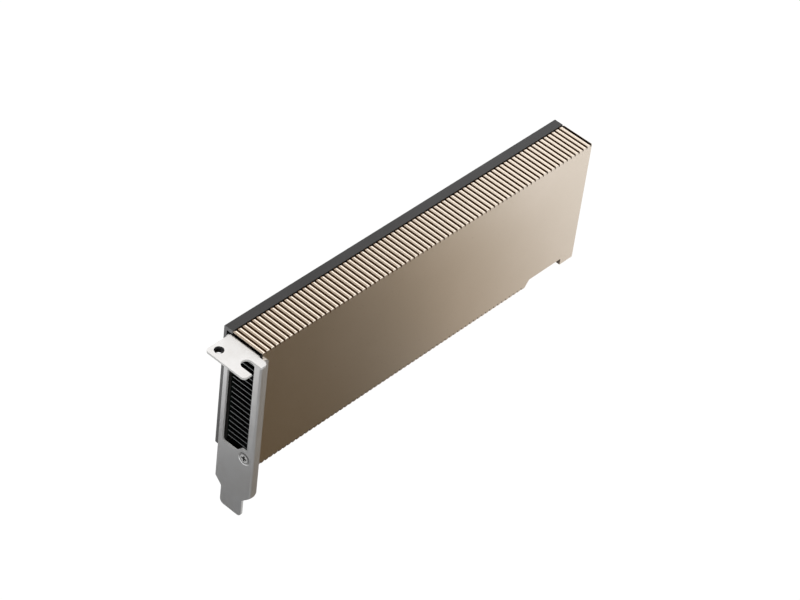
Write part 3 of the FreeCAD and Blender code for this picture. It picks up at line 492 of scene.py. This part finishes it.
# Screws in the bracket: a pale rim round a turned step painted near black as its shade, and a recess
# painted dark as shade.
# Shares are of the head's radius
bracketScrews = {
    "nodes": ["bracket_screw", "bracket_top_screw"],
    "rim": "d9d9d8",
    "face": "f8f8f7",
    "step": "161616",
    "recessShade": "050505",
    "roughness": 0.25,
    "roughnessVary": 0.2,
    "metal": 0.25,
    "grain": 1500.0,
    "rimShares": (0.87, 0.93),
    "stepShares": (0.76, 0.8),
    "stepDepth": 0.05 * mm,
    "recess": 0.04 * mm,
}


def makeBracketScrewFinish(name):
    material, graph = newMaterial(name + "Plate")
    low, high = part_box(name)
    place = graph.place()
    x, y, z = graph.split(place, "XYZ")
    grain = graph.noise(place, bracketScrews["grain"])
    offY = y - (low.y + high.y) / 2
    offZ = z - (low.z + high.z) / 2
    share = graph.maths("SQRT", offY * offY + offZ * offZ) * (2 / (high.y - low.y))
    isRim = graph.step(share, *bracketScrews["rimShares"])
    # The step ring shapes the bump and is painted near black as shade
    stepAndShade = graph.step(share, *bracketScrews["stepShares"]) * (1 - isRim)
    # Painted shade in the recess
    paintedRecessShade = graph.past(x, low.x + bracketScrews["recess"], bracketScrews["recess"])
    tone = graph.mix(isRim, rgb(bracketScrews["face"]), rgb(bracketScrews["rim"]))
    tone = graph.mix(stepAndShade, tone, rgb(bracketScrews["step"]))
    tone = graph.mix(paintedRecessShade, tone, rgb(bracketScrews["recessShade"]))
    finish(graph, baseColor=tone, metallic=bracketScrews["metal"],
           roughness=graph.vary(bracketScrews["roughness"], grain, bracketScrews["roughnessVary"]),
           normal=graph.bump(isRim - stepAndShade, bracketScrews["stepDepth"]))
    dress([name], material)


for name in bracketScrews["nodes"]:
    makeBracketScrewFinish(name)
smoothRounds(bracketScrews["nodes"], turnedAngle)
print("bracket screws done")


def four(name):
    return [f"{name}_{i}" for i in range(1, 5)]


# Moulded, ceramic and filled materials: one recipe again
mouldings = {
    "chipMoulding": {"nodes": ["voltage_controller", "firmware_chip"] + four("memory_chip")
                     + four("rear_memory_chip") + four("power_stage"),
                     "light": "2b2b2d", "dull": "202022", "roughness": 0.55, "grain": 1600.0},
    "packageLaminate": {"nodes": ["gpu_substrate"], "light": "2f5b3b", "dull": "264c31", "roughness": 0.35,
                        "grain": 500.0},
    "thermalPad": {"nodes": ["power_pad"] + four("memory_pad") + four("rear_memory_pad"),
                   "light": "9aa9b6", "dull": "8795a2", "roughness": 0.85, "grain": 1200.0},
    "thermalPaste": {"nodes": ["die_paste"], "light": "bfbfbd", "dull": "a9a9a7", "roughness": 0.6,
                     "grain": 800.0},
    "pressedIron": {"nodes": four("power_inductor"), "light": "5a5a5c", "dull": "47474a", "roughness": 0.6,
                    "grain": 2200.0},
    "polymerCase": {"nodes": four("bulk_capacitor"), "light": "4d4136", "dull": "3d332a", "roughness": 0.5,
                    "grain": 1500.0},
    "tanCeramic": {"nodes": ["ceramic_capacitors", "coupling_capacitors"], "light": "b08f66",
                   "dull": "967650", "roughness": 0.45, "grain": 1800.0},
}
mouldingSkin = {"cloud": (90.0, 2.0, 0.5), "cloudLevels": (0.3, 0.7), "roughnessVary": 0.16,
                "depth": 0.012 * mm, "strength": 0.7}


def makeMoulding(name, look):
    material, graph = newMaterial(name)
    place = graph.place()
    grain = graph.noise(place, look["grain"])
    cloud = graph.noise(place, *mouldingSkin["cloud"])
    tone = graph.tones(cloud, mouldingSkin["cloudLevels"], look["light"], look["dull"])
    finish(graph, baseColor=tone,
           roughness=graph.vary(look["roughness"], grain, mouldingSkin["roughnessVary"]),
           normal=graph.bump(grain, mouldingSkin["depth"], mouldingSkin["strength"]))
    dress(look["nodes"], material)


for name, look in mouldings.items():
    makeMoulding(name, look)
print("mouldings done")

# Studio: a pale floor and even air that read white to the camera and in the gloss, and one soft lamp
studio = {
    "white": (1.0, 1.0, 1.0, 1.0),
    "whiteLevel": 1.06,
    "ambient": 0.55,
    "floorHeight": -0.8,
    "floorHalf": 8.0,
    "floorColour": "dcdcdc",
    "floorWhite": 0.95,
    "lampAt": (0.0, 0.1, 0.8),
    "lampAim": (0.0, 0.0, 0.03),
    "lampSize": 0.6,
    "lampWatts": 1.5,
}
squareCorners = ((-1, -1), (1, -1), (1, 1), (-1, 1))


def makeSheet(name, corners, material):
    mesh = bpy.data.meshes.new(name)
    mesh.from_pydata(corners, [], [(0, 1, 2, 3)])
    mesh.materials.append(material)
    sheet = bpy.data.objects.new(name, mesh)
    bpy.context.scene.collection.objects.link(sheet)
    return sheet


# 1 for rays that show the background as it is: straight to the camera, or by way of metal or glass
def isShown(graph):
    names = ("Is Camera Ray", "Is Glossy Ray", "Is Transmission Ray")
    camera, glossy, transmission = graph.others(graph.add("ShaderNodeLightPath"), names)
    return graph.maths("MINIMUM", camera + glossy + transmission, 1.0)


def makeFloor():
    half = studio["floorHalf"]
    material, graph = newMaterial("paleFloor")
    paint = graph.add("ShaderNodeBsdfDiffuse", None, {"Color": rgb(studio["floorColour"])})
    light = {"Color": studio["white"], "Strength": studio["whiteLevel"]}
    white = graph.add("ShaderNodeEmission", None, light)
    share = isShown(graph) * studio["floorWhite"]
    shown = graph.add("ShaderNodeMixShader", None, {0: share, 1: paint, 2: white})
    graph.add("ShaderNodeOutputMaterial", None, {"Surface": shown})
    corners = [(x * half, y * half, studio["floorHeight"]) for x, y in squareCorners]
    makeSheet("floor", corners, material)


def makeWorld():
    world = bpy.data.worlds.new("studioAir")
    bpy.context.scene.world = world
    world.use_nodes = True
    graph = Graph(world.node_tree)
    air = {"Color": studio["white"], "Strength": studio["ambient"]}
    soft = graph.add("ShaderNodeBackground", None, air)
    white = graph.add("ShaderNodeBackground", None, {**air, "Strength": studio["whiteLevel"]})
    shown = graph.add("ShaderNodeMixShader", None, {0: isShown(graph), 1: soft, 2: white})
    graph.add("ShaderNodeOutputWorld", None, {"Surface": shown})


def makeLamp():
    light = bpy.data.lights.new("overhead", "AREA")
    light.size = studio["lampSize"]
    light.energy = studio["lampWatts"]
    piece = bpy.data.objects.new("overhead", light)
    piece.location = studio["lampAt"]
    towards = Vector(studio["lampAim"]) - Vector(studio["lampAt"])
    piece.rotation_euler = towards.to_track_quat("-Z", "Y").to_euler()
    piece.visible_camera = False
    bpy.context.scene.collection.objects.link(piece)


# Cards that the gloss alone sees. The dim ones shade it as a photographer's flags do, and the bright one,
# rimCard, lights the bevels. A level is the light that a card gives in red, green and blue
cards = {
    "frontFlag": {"at": (-0.01, -0.2, -0.21), "aim": (-0.06, -0.015, 0.03), "size": 0.44,
                  "level": (0.125, 0.095, 0.059)},
    "warmFlag": {"at": (0.245, -0.2, -0.225), "aim": (0.0, -0.015, 0.03), "size": 0.112,
                 "level": (0.415, 0.33, 0.22)},
    "topFlag": {"at": (0.06, 0.17, 0.35), "aim": (-0.06, 0.0, 0.068), "size": 0.3,
                "level": (0.425, 0.37, 0.315)},
    "rimCard": {"at": (0.5, 0.25, 0.24), "aim": (0.0, 0.0, 0.068), "size": 0.3,
                "level": (1.45, 1.4, 1.35)},
    "stripFlag": {"at": (-0.12, 0.03, -0.07), "aim": (-0.072, 0.0, 0.0), "size": 0.09,
                  "level": (0.12, 0.12, 0.12)},
    "cornerFlag": {"at": (-0.22, -0.03, -0.11), "aim": (-0.072, -0.018, 0.03), "size": 0.13,
                   "level": (0.16, 0.16, 0.16)},
    "bendFlag": {"at": (-0.17, -0.13, -0.12), "aim": (-0.072, -0.018, 0.03), "size": 0.14,
                 "level": (0.12, 0.12, 0.12)},
}


def makeCard(name, card):
    material, graph = newMaterial(name)
    glow = graph.add("ShaderNodeEmission", None, {"Color": card["level"] + (1.0,), "Strength": 1.0})
    graph.add("ShaderNodeOutputMaterial", None, {"Surface": glow})
    towards = Vector(card["aim"]) - Vector(card["at"])
    turn = towards.to_track_quat("Z", "Y")
    half = card["size"] / 2
    corners = [Vector(card["at"]) + turn @ Vector((x * half, y * half, 0.0)) for x, y in squareCorners]
    sheet = makeSheet(name, corners, material)
    sheet.visible_camera = False
    sheet.visible_diffuse = False
    sheet.visible_transmission = False
    sheet.visible_shadow = False


makeFloor()
makeWorld()
makeLamp()
for name, card in cards.items():
    makeCard(name, card)
print("studio done")

# Camera: fitted to the bracket's sizes in the photograph. Length and sensor are in millimetres
lens = {
    "at": (-0.61625, -0.50075, 0.7648),
    "right": (0.6848, -0.7224, 0.0965),
    "up": (0.4423, 0.5172, 0.7327),
    "length": 137.4,
    "sensor": 36.0,
    "clipStart": 0.01,
    "clipEnd": 50,
}


def makeCamera():
    camera = bpy.data.cameras.new("photoCamera")
    camera.lens = lens["length"]
    camera.sensor_width = lens["sensor"]
    camera.clip_start = lens["clipStart"]
    camera.clip_end = lens["clipEnd"]
    piece = bpy.data.objects.new("photoCamera", camera)
    right = Vector(lens["right"]).normalized()
    back = right.cross(Vector(lens["up"])).normalized()
    up = back.cross(right)
    turn = Matrix((right, up, back)).transposed().to_4x4()
    piece.matrix_world = Matrix.Translation(lens["at"]) @ turn
    bpy.context.scene.collection.objects.link(piece)
    bpy.context.scene.camera = piece


makeCamera()
bpy.context.scene.view_settings.view_transform = "Standard"
print("camera done")
